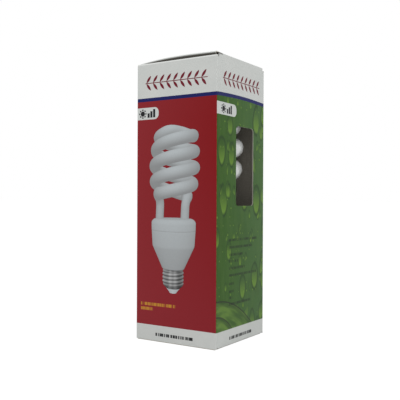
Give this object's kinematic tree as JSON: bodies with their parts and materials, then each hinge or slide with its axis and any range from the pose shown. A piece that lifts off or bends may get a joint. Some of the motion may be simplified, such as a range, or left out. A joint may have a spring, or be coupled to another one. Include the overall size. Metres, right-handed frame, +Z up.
{
  "type": "boxed energy saving lamp",
  "caption": "Tall square folding carton with tuck lids and a die-cut window, holding a spiral compact fluorescent lamp with a screw cap.",
  "frame": {"origin": "middle of the carton's underside, on the surface that it stands on", "axes": "+Z up along the carton and the lamp, the printed front panel faces -Y and the window panel faces +X"},
  "size_m": [0.0684, 0.0684, 0.2025],
  "materials": {
    "printed_card": "coated print outside, grey-brown inside",
    "white_card": "coated white outside, grey-brown inside",
    "phosphor_glass": "glossy, white phosphor behind",
    "white_plastic": "satin",
    "cement": "matt",
    "cap_metal": "rolled",
    "insulator": "satin",
    "contact_metal": "satin",
    "board_laminate": "matt",
    "dark_sleeve": "gloss",
    "ferrite": "matt",
    "bobbin_plastic": "matt",
    "copper_wire": "enamelled",
    "black_plastic": "matt",
    "capacitor_dip": "gloss",
    "resistor_coat": "matt",
    "tinned_wire": "tinned"
  },
  "bodies": {
    "carton": {"carton_sleeve": "printed_card", "discharge_tube": "phosphor_glass", "tube_cover": "white_plastic", "lower_housing": "white_plastic", "leg_cement": "cement", "screw_shell": "cap_metal", "cap_insulator": "insulator", "centre_contact": "contact_metal", "circuit_board": "board_laminate", "electrolytic_capacitor": "dark_sleeve", "choke_core": "ferrite", "choke_bobbin": "bobbin_plastic", "choke_winding": "copper_wire", "ring_core": "ferrite", "ring_windings": "copper_wire", "transistors": "black_plastic", "film_capacitors": "capacitor_dip", "rectifier_diodes": "black_plastic", "resistors": "resistor_coat", "filament_leads": "tinned_wire", "fusible_resistor": "resistor_coat", "supply_leads": "tinned_wire"},
    "top_lid": {"top_lid": "white_card"},
    "bottom_lid": {"bottom_lid": "white_card"}
  },
  "joints": [
    {"name": "top_lid_fold", "type": "hinge", "parent": "carton", "child": "top_lid", "pos_m": [0, 0.0342, 0.2], "axis": [-1, 0, 0], "range_deg": [0, 180]},
    {"name": "bottom_lid_fold", "type": "hinge", "parent": "carton", "child": "bottom_lid", "pos_m": [0, -0.0342, 0], "axis": [-1, 0, 0], "range_deg": [0, 180]}
  ]
}
